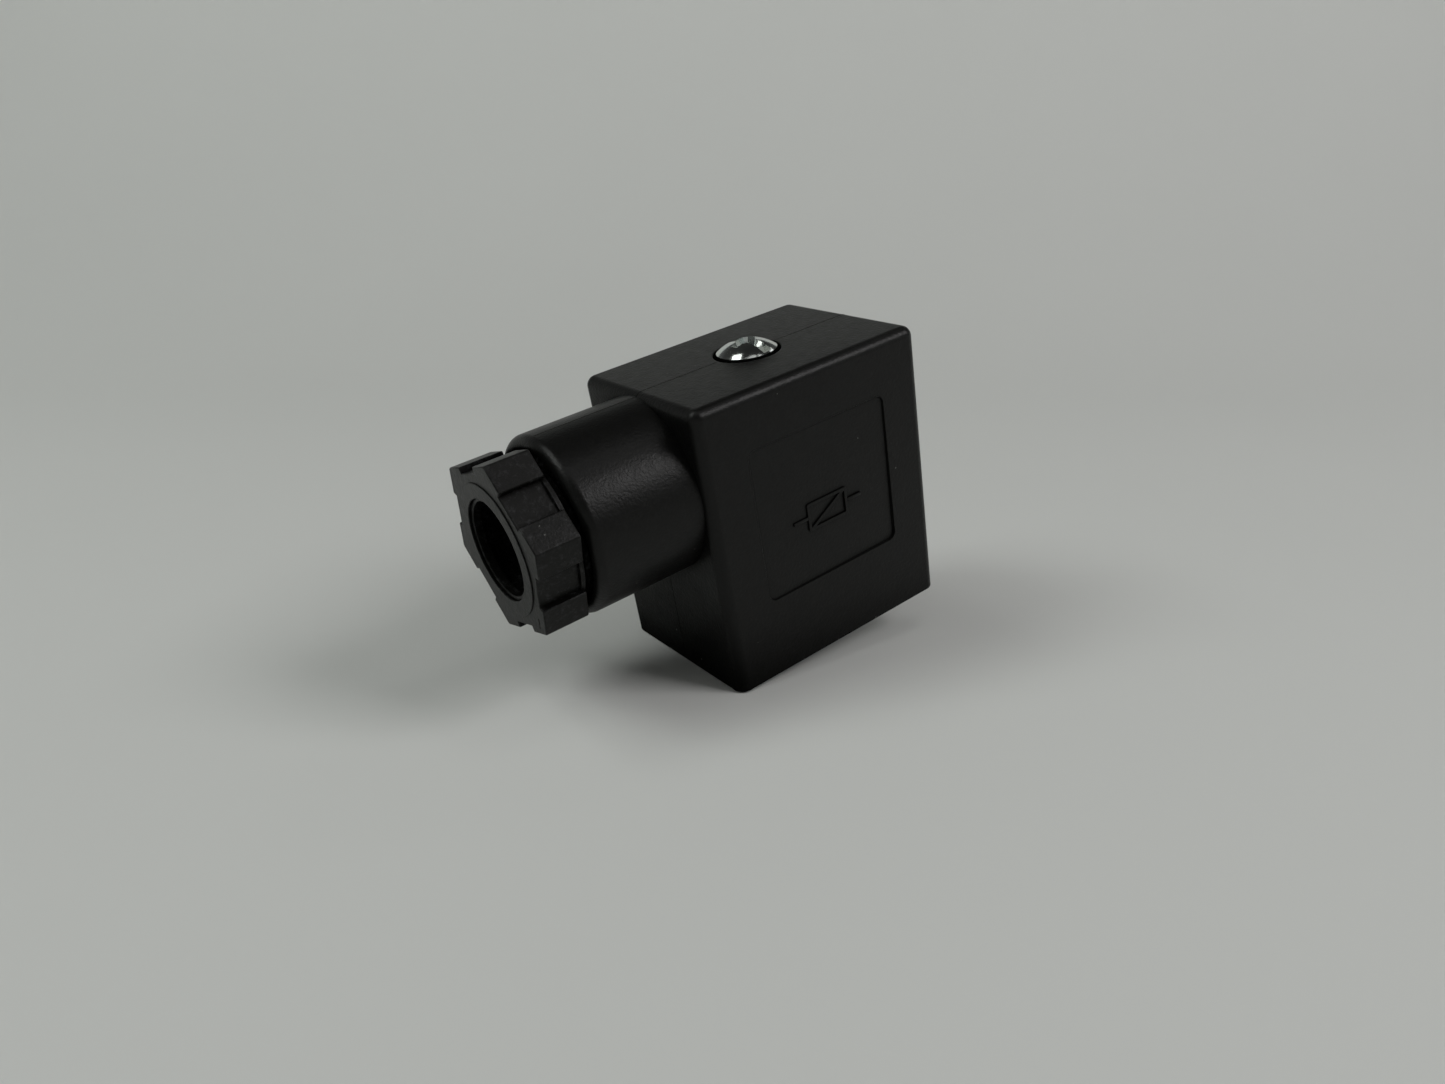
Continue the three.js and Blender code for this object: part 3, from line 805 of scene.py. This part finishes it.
def make_grommet():
    """A rubber sleeve with chamfered ends and ribs round its bore."""
    inner, outer = GROMMET_R
    low, high = GROMMET_LO.x, GROMMET_HI.x
    middle, half = (low + high) / 2, (high - low) / 2
    section = [(outer - 0.35, low), (outer, low + 0.5), (outer, high - 0.5), (outer - 0.35, high),
               (inner + 0.3, high)]
    steps = GROMMET_RIBS * 4
    for i in range(steps + 1):
        along = 1.0 - 2.0 * i / steps
        wave = 0.5 * GROMMET_RIB_HEIGHT * (1 - math.cos(2 * math.pi * GROMMET_RIBS * (i / steps)))
        section.append((inner + wave, middle + along * (half - 0.3)))
    section.append((inner + 0.3, low))
    grommet = turned(section, "X", GLAND_AXIS, ring=True)
    return finish_piece(grommet, "sealing_grommet", ["cable_grommet"], "housing",
                        RUBBER_LOOK)


make_nut()
make_washer()
make_grommet()

# ---------------------------------------------------------------- fixing screw

HEAD_R = 3.1
HEAD_SEAT = 28.7
HEAD_RIM = 30.25
CROWN_Z = SCREW_HI.z
SCREW_TIP = SCREW_LO.z
M3_PITCH = 0.5
SCREW_THREAD_TOP = 8.0
DRIVE_ANGLE = math.radians(100)
DRIVE_SLOT_HALF = 0.58
DRIVE_SLOT_DEPTH = 0.95
DRIVE_CROSS_DEPTH = 0.9
DRIVE_ARM = 2.0
DOME_STEPS = 14


def drive_tools():
    """A slot right across the head, and a deeper tapered cross in its middle."""
    spin = Matrix.Rotation(DRIVE_ANGLE, 4, "Z")
    half, reach = DRIVE_SLOT_HALF, HEAD_R + 1
    floor = CROWN_Z - DRIVE_SLOT_DEPTH
    pit, brim = floor - DRIVE_CROSS_DEPTH, CROWN_Z + 0.3
    tools = [prism([(-reach, -half), (reach, -half), (reach, half), (-reach, half)],
                   floor, CROWN_Z + CUT)]
    for across in (False, True):
        loops = []
        for arm, width, height in ((0.6, 0.3, pit), (1.4, 0.42, CROWN_Z - DRIVE_SLOT_DEPTH * 0.9),
                                   (DRIVE_ARM, 0.5, brim)):
            corners = [(-arm, -width), (arm, -width), (arm, width), (-arm, width)]
            if across:
                corners = [(-y, x) for x, y in corners]
            loops.append([(x, y, height) for x, y in corners])
        tools.append(loft(loops, plane_map("Z")))
    tools.append(turned([(0.45, pit), (0.8, floor), (1.15, brim)], sides=24))
    for tool in tools:
        tool.data.transform(spin)
    return tools


def make_fixing_screw():
    rise = CROWN_Z - HEAD_RIM
    dome_r = (HEAD_R ** 2 + rise ** 2) / (2 * rise)
    half_angle = math.degrees(math.asin(HEAD_R / dome_r))
    dome = arc((0, CROWN_Z - dome_r), dome_r, 90 - half_angle, 89.9, DOME_STEPS)
    neck, root = SHANK_R - 0.25, SHANK_R - 0.3
    head = turned([(neck, SCREW_THREAD_TOP - 0.2), (neck, HEAD_SEAT - 1.0), (SHANK_R, HEAD_SEAT),
                   (HEAD_R - 0.15, HEAD_SEAT), (HEAD_R, HEAD_SEAT + 0.15)] + dome)
    thread = threaded(root, SHANK_R, M3_PITCH, SCREW_TIP + 0.3, SCREW_THREAD_TOP,
                      sides=40, rows=8)
    tip = turned([(SHANK_R - TIP_CHAMFER, SCREW_TIP), (root, SCREW_TIP + 0.15),
                  (root, SCREW_TIP + 1.0)], sides=40)
    screw = cut(union(head, thread, tip), *drive_tools())
    screw = soften(screw, 0.05, 2, 40)
    return finish_piece(screw, "captive_screw", ["fixing_screw"], "fixing_screw",
                        ZINC_LOOK)


def make_screw_rings():
    seal = turned(ring_profile(1.85, 2.95, SEAL_LO.z, SEAL_HI.z, 0.35), ring=True)
    finish_piece(seal, "head_seal", ["screw_seal"], "screw_seal", RUBBER_LOOK)
    ring = turned(ring_profile(1.65, 2.45, RING_LO.z, RING_HI.z, 0.2), ring=True)
    finish_piece(ring, "retaining_ring", ["screw_retaining_ring"], "fixing_screw",
                 RUBBER_LOOK)


make_fixing_screw()
make_screw_rings()

# ---------------------------------------------------------------- contact insert and gasket

BLOCK_TOP = 11.4
TUBE_R = 3.7
TUBE_BORE_R = 2.8
POCKET_HALF = (3.95, 1.9)
BLADE_SLOT_HALF = (3.45, 0.7)
FLOOR = 1.0
TABLE_HALF = 2.8
TABLE_HOLE_R = 1.6
GASKET_SLOT_HALF = (3.8, 1.1)
GASKET_HOLE_R = 2.2
GROOVE_INSET = 0.9
GROOVE_WIDTH = 0.35
GROOVE_DEPTH = 0.12
LEAF_HALF = 3.2
LEAF_INNER = 0.45
LEAF_OUTER = 0.85


class Terminal:
    """Where one blade contact and its screw table are."""

    def __init__(self, name):
        self.name = name
        low, high = cad_box(f"contact_spring_{name}")
        self.x, self.y = (low.x + high.x) / 2, (low.y + high.y) / 2
        self.along_x = high.x - low.x > high.y - low.y
        low, high = cad_box(f"terminal_screw_{name}")
        self.table_x, self.table_y = (low.x + high.x) / 2, (low.y + high.y) / 2
        self.screw_low, self.screw_high = low.z, high.z

    def blade_block(self, half_length, half_width, low, high):
        """A plain block round the blade's axis."""
        dx, dy = (half_length, half_width) if self.along_x else (half_width, half_length)
        return block((self.x - dx, self.y - dy, low), (self.x + dx, self.y + dy, high))

    def blade_flare(self, half_length, half_width, low, high, grow):
        """A block that is wider at its low end, for a lead-in."""
        loops = []
        for extra, height in ((grow, low), (0.0, high)):
            length, width = half_length + extra, half_width + extra
            dx, dy = (length, width) if self.along_x else (width, length)
            loops.append([(self.x + sx * dx, self.y + sy * dy, height)
                          for sx, sy in ((-1, -1), (1, -1), (1, 1), (-1, 1))])
        return loft(loops, plane_map("Z"))


TERMINALS = [Terminal(name) for name in TERMINAL_NAMES]


def make_insert():
    half_x, half_y = INSERT_HI.x, INSERT_HI.y
    bottom = INSERT_LO.z
    base = prism(rounded_rect(half_x, half_y, 0.5, 5), bottom, BLOCK_TOP, edge=0.2)
    tube = turned([(TUBE_R, bottom + 0.5), (TUBE_R, INSERT_HI.z - 0.2),
                   (TUBE_R - 0.2, INSERT_HI.z)])
    divider = block((-10.8, -0.6, bottom + 1), (-3.4, 0.6, 17.5), 0.15)
    cross_wall = block((4.6, -7.4, bottom + 1), (5.3, 7.4, 14.8), 0.12)
    body = union(base, tube, divider, cross_wall)
    tools = [rod(TUBE_BORE_R, bottom + FLOOR, INSERT_HI.z + CUT),
             turned([(SHANK_HOLE_R + 0.3, bottom - CUT), (SHANK_HOLE_R + 0.3, bottom),
                     (SHANK_HOLE_R, bottom + 0.3), (SHANK_HOLE_R, bottom + FLOOR + CUT)])]
    for terminal in TERMINALS:
        length, width = BLADE_SLOT_HALF
        tools.append(terminal.blade_block(*POCKET_HALF, bottom + FLOOR, BLOCK_TOP + CUT))
        tools.append(terminal.blade_block(length, width, bottom - CUT, bottom + FLOOR + CUT))
        tools.append(terminal.blade_flare(length, width, bottom - 0.01, bottom + 0.45, 0.3))
        tools.append(rod(TABLE_HOLE_R, terminal.screw_low - 2.8, BLOCK_TOP + CUT,
                         centre=(terminal.table_x, terminal.table_y, 0), sides=48))
    insert = cut(body, *tools)
    return finish_piece(insert, "terminal_block", ["contact_insert"], "contact_insert",
                        INSERT_LOOK)


def gasket_groove(low):
    """A narrow groove round the gasket's underside."""
    half_x, half_y = GASKET_HI.x - GROOVE_INSET, GASKET_HI.y - GROOVE_INSET
    outer = prism(rounded_rect(half_x, half_y, 0.6, 6), low - CUT, low + GROOVE_DEPTH)
    inner = prism(rounded_rect(half_x - GROOVE_WIDTH, half_y - GROOVE_WIDTH, 0.4, 6),
                  low - CUT, low + GROOVE_WIDTH)
    return cut(outer, inner)


def make_gasket():
    low, high = GASKET_LO.z, GASKET_HI.z
    sheet = prism(rounded_rect(GASKET_HI.x, GASKET_HI.y, 0.6, 6), low, high, edge=0.15)
    hole = GASKET_HOLE_R
    tools = [turned([(hole + 0.15, low - CUT), (hole + 0.15, low), (hole, low + 0.15),
                     (hole, high + CUT)])]
    for terminal in TERMINALS:
        tools.append(terminal.blade_block(*GASKET_SLOT_HALF, low - CUT, high + CUT))
        tools.append(terminal.blade_flare(*GASKET_SLOT_HALF, low - 0.01, low + 0.2, 0.15))
    gasket = cut(cut(sheet, *tools), gasket_groove(low))
    return finish_piece(gasket, "flat_gasket", ["face_gasket"], "contact_insert",
                        RUBBER_LOOK)


make_insert()
make_gasket()

# ---------------------------------------------------------------- contacts and screw terminals


CONTACT_EDGE = 0.07
CONTACT_TABLE = 1.0
LEAF_WINDOW_HALF = 1.75
LEAF_WAIST = (8.0, 8.2)
SPRING_SHEET = 0.25
SPRING_GAP_HALF = 0.6
CLAMP_LIP = 0.35
CLAMP_SIDE = 0.8
CLAMP_TEETH = 5
CLAMP_TOOTH_HALF = 0.12
TERMINAL_HEAD_R = 2.5
TERMINAL_HEAD_H = 1.8
TERMINAL_SHANK_R = 1.25
TERMINAL_CROWN_R = 0.45
TERMINAL_SLOT_HALF = 0.35


def make_contact(terminal):
    """Two leaves that hold the blade, joined to a threaded screw table."""
    low, high = cad_box(f"contact_{terminal.name}")
    table_low = high.z - CONTACT_TABLE
    leg_low, leaf_high = LEAF_WAIST
    parts = []
    for side in (-1, 1):
        near, far = side * LEAF_INNER, side * LEAF_OUTER
        d0, d1 = min(near, far), max(near, far)
        for u0, u1, z0, z1 in ((-LEAF_HALF, LEAF_HALF, low.z, leaf_high),
                               (-LEAF_HALF, -LEAF_WINDOW_HALF, leg_low, high.z - 0.4),
                               (LEAF_WINDOW_HALF, LEAF_HALF, leg_low, high.z - 0.4)):
            if terminal.along_x:
                parts.append(block((terminal.x + u0, terminal.y + d0, z0),
                                   (terminal.x + u1, terminal.y + d1, z1)))
            else:
                parts.append(block((terminal.x + d0, terminal.y + u0, z0),
                                   (terminal.x + d1, terminal.y + u1, z1)))
    x, y = terminal.table_x, terminal.table_y
    table = prism(rounded_rect(TABLE_HALF, TABLE_HALF, 0.3, 4, (x, y)), table_low, high.z)
    if terminal.along_x:
        y0, y1 = terminal.y - LEAF_OUTER, terminal.y + LEAF_OUTER
        parts.append(block((x, y0, table_low), (terminal.x + LEAF_HALF, y1, high.z)))
    else:
        x0, x1 = terminal.x - LEAF_OUTER, terminal.x + LEAF_OUTER
        parts.append(block((x0, terminal.y - LEAF_HALF, table_low),
                           (x1, terminal.y + LEAF_HALF, high.z)))
    contact = union(table, *parts)
    hole = threaded(TABLE_HOLE_R - 0.12, TABLE_HOLE_R + 0.05, M3_PITCH, table_low - CUT,
                    high.z + CUT, centre=(x, y, 0), sides=40, rows=8)
    contact = soften(cut(contact, hole), CONTACT_EDGE, 2, 50)
    return finish_piece(contact, f"blade_contact_{terminal.name}", [f"contact_{terminal.name}"],
                        "contact_insert", TIN_LOOK)


def make_contact_spring(terminal):
    """A flat spring bent round the two leaves, open at one end."""
    low, high = cad_box(f"contact_spring_{terminal.name}")
    half_x, half_y = (high.x - low.x) / 2, (high.y - low.y) / 2
    centre = ((low.x + high.x) / 2, (low.y + high.y) / 2)
    outer = prism(rounded_rect(half_x, half_y, 0.4, 5, centre), low.z, high.z)
    inner = prism(rounded_rect(half_x - SPRING_SHEET, half_y - SPRING_SHEET, 0.2, 5, centre),
                  low.z - CUT, high.z + CUT)
    gap = terminal.blade_block(SPRING_GAP_HALF, SPRING_GAP_HALF, low.z - CUT, high.z + CUT)
    shift = Vector((half_x, 0, 0)) if terminal.along_x else Vector((0, half_y, 0))
    gap.data.transform(Matrix.Translation(shift))
    clip = soften(cut(outer, inner, gap), 0.04, 1, 50)
    name = f"spring_clip_{terminal.name}"
    return finish_piece(clip, name, [f"contact_spring_{terminal.name}"], "contact_insert",
                        SPRING_LOOK)


def make_clamp_plate(terminal):
    """A plate with two side lips and a grooved underside that grips the wire."""
    node = f"clamp_plate_{terminal.name}"
    low, high = cad_box(node)
    plate = block(low, high, 0.12)
    roof = low.z + CLAMP_LIP
    tools = [block((low.x - CUT, low.y + CLAMP_SIDE, low.z - CUT),
                   (high.x + CUT, high.y - CLAMP_SIDE, roof)),
             rod(TABLE_HOLE_R, low.z - CUT, high.z + CUT,
                 centre=(terminal.table_x, terminal.table_y, 0), sides=48)]
    half = CLAMP_TOOTH_HALF
    for i in range(CLAMP_TEETH):
        x = low.x + (high.x - low.x) * (i + 0.5) / CLAMP_TEETH
        tools.append(block((x - half, low.y + 0.3, low.z - CUT),
                           (x + half, high.y - 0.3, roof + 0.12)))
    plate = cut(plate, *tools)
    return finish_piece(plate, f"pressure_plate_{terminal.name}", [node], node,
                        STEEL_LOOK)


def make_terminal_screw(terminal, turn):
    """A slotted screw with a domed cheese head and a short threaded shank."""
    head_r, shank_r, crown_r = TERMINAL_HEAD_R, TERMINAL_SHANK_R, TERMINAL_CROWN_R
    top = terminal.screw_high
    seat = top - TERMINAL_HEAD_H
    node = f"terminal_screw_{terminal.name}"
    crown = [(head_r - crown_r + out, top - crown_r + up)
             for out, up in arc((0, 0), crown_r, 15, 90, 5)]
    head = turned([(shank_r - 0.2, seat - 0.6), (shank_r - 0.2, seat), (head_r - 0.1, seat),
                   (head_r, seat + 0.1), (head_r, top - crown_r)] + crown, sides=64)
    thread = threaded(shank_r - 0.2, shank_r, M3_PITCH, terminal.screw_low, seat - 0.2,
                      sides=40, rows=8)
    reach, half = head_r + 1, TERMINAL_SLOT_HALF
    slot = prism([(-reach, -half), (reach, -half), (reach, half), (-reach, half)],
                 top - TERMINAL_HEAD_H / 2, top + CUT)
    slot.data.transform(Matrix.Rotation(turn, 4, "Z"))
    screw = soften(cut(union(head, thread), slot), 0.05, 2, 45)
    screw.data.transform(Matrix.Translation((terminal.table_x, terminal.table_y, 0)))
    return finish_piece(screw, f"clamp_screw_{terminal.name}", [node], node,
                        STEEL_LOOK)


for number, terminal in enumerate(TERMINALS):
    make_contact(terminal)
    make_contact_spring(terminal)
    make_clamp_plate(terminal)
    make_terminal_screw(terminal, math.radians(20 + 55 * number))

# ---------------------------------------------------------------- stage and light

STAGE_BACK = 117.0
STAGE_FRONT = 420.0
STAGE_SIDE = 400.0
COVE_R = 190.0
STAGE_CORNER_R = 60.0
FLOOR_DROP = HOUSE_HI.x * math.sin(LEAN)
FLOOR_GAP = 0.02
FLOOR_TONES = ((0.725, 0.735, 0.715), (0.765, 0.775, 0.755))
LIGHT_DISTANCE = 560.0
LIGHT_AIM_HEIGHT = 10.0
# Name, azimuth, elevation, side, watts and colour. Azimuth 0 is behind the object, 90 to its right.
LIGHTS = (
    ("softbox_right", 112, 43, 220, 0.94, (1.0, 0.985, 0.985)),
    ("softbox_left", 252, 47, 200, 0.66, (0.96, 1.0, 0.965)),
    ("ceiling_left", 272, 62, 150, 0.21, (0.97, 1.0, 0.965)),
    ("ceiling_right", 105, 74, 110, 0.07, (1.0, 1.0, 0.985)),
    ("ceiling_back", 40, 52, 90, 0.03, (1.0, 1.0, 0.985)),
    ("front_fill", 185, 70, 300, 0.18, (1.0, 1.0, 0.98)),
)
# Sine of the height above the floor, and the room's level there.
ROOM_LEVELS = ((0.1, 0.30), (0.35, 0.125), (0.6, 0.035), (1.0, 0.015))
ROOM_TINT = (0.97, 1.0, 0.98)


def stage_matrix():
    """The floor's frame, with +Y away from the camera and the object resting on it."""
    up = STAGE @ Vector((0, 0, 1))
    turn = Matrix.Rotation(CAMERA_AZIMUTH, 4, "Z")
    return Matrix.Translation(up * -(FLOOR_DROP + FLOOR_GAP) * MM) @ STAGE.to_4x4() @ turn


def make_stage():
    """A pale floor that curves up into a wall on every side."""
    n = Nodes("pale seamless floor")
    cloud = n.noise(6.0, 2.0)
    n.set(Base_Color=n.mix(cloud, *FLOOR_TONES), Roughness=0.75, Specular_IOR_Level=0.25)
    profile = [(0.0, 0.0)] + [(out, COVE_R + up) for out, up in arc((0, 0), COVE_R, -90, 0, 20)]
    half_y = (STAGE_BACK + STAGE_FRONT) / 2
    middle = (0, (STAGE_BACK - STAGE_FRONT) / 2)
    bm = bmesh.new()
    rings = []
    for out, height in profile:
        outline = rounded_rect(STAGE_SIDE + out, half_y + out, STAGE_CORNER_R + out, 10, middle)
        rings.append([bm.verts.new((x * MM, y * MM, height * MM)) for x, y in outline])
    count = len(rings[0])
    bm.faces.new(rings[0])
    for low, high in zip(rings[1:], rings[2:]):
        for i in range(count):
            j = (i + 1) % count
            bm.faces.new((low[i], high[i], high[j], low[j]))
    bmesh.ops.remove_doubles(bm, verts=bm.verts, dist=0.000001)
    bmesh.ops.recalc_face_normals(bm, faces=bm.faces)
    mesh = bpy.data.meshes.new("sweep")
    bm.to_mesh(mesh)
    bm.free()
    mesh.shade_smooth()
    mesh.materials.append(n.material)
    sweep = bpy.data.objects.new("sweep", mesh)
    bpy.context.scene.collection.objects.link(sweep)
    sweep.matrix_world = stage_matrix()


def make_light(name, azimuth, elevation, size, power, colour):
    """A square soft light that faces the object."""
    data = bpy.data.lights.new(name, "AREA")
    data.shape = "SQUARE"
    data.size = size * MM
    data.energy = power
    data.color = colour
    light = bpy.data.objects.new(name, data)
    bpy.context.scene.collection.objects.link(light)
    light.visible_camera = False
    turn, rise = math.radians(azimuth), math.radians(elevation)
    level = math.cos(rise)
    start = Vector((math.sin(turn) * level, math.cos(turn) * level, math.sin(rise)))
    start = stage_matrix() @ (start * LIGHT_DISTANCE * MM)
    end = stage_matrix() @ Vector((0, 0, LIGHT_AIM_HEIGHT * MM))
    facing = (end - start).to_track_quat("-Z", "Y")
    light.matrix_world = Matrix.LocRotScale(start, facing, None)


def make_world():
    """A room that is pale at the horizon and dark overhead."""
    world = bpy.data.worlds.new("studio")
    world.use_nodes = True
    tree = world.node_tree
    background = tree.nodes["Background"]
    coords = tree.nodes.new("ShaderNodeTexCoord")
    height = tree.nodes.new("ShaderNodeVectorMath")
    height.operation = "DOT_PRODUCT"
    height.inputs[1].default_value = STAGE @ Vector((0, 0, 1))
    ramp = tree.nodes.new("ShaderNodeValToRGB")
    elements = ramp.color_ramp.elements
    for position, _ in ROOM_LEVELS[1:-1]:
        elements.new(position)
    for element, (position, level) in zip(elements, ROOM_LEVELS):
        element.position = position
        element.color = (*(level * tint for tint in ROOM_TINT), 1.0)
    tree.links.new(coords.outputs["Generated"], height.inputs[0])
    tree.links.new(height.outputs["Value"], ramp.inputs["Fac"])
    tree.links.new(ramp.outputs["Color"], background.inputs["Color"])
    background.inputs["Strength"].default_value = 1.0
    bpy.context.scene.world = world
    bpy.context.scene.view_settings.view_transform = "Standard"


make_stage()
for light in LIGHTS:
    make_light(*light)
make_world()
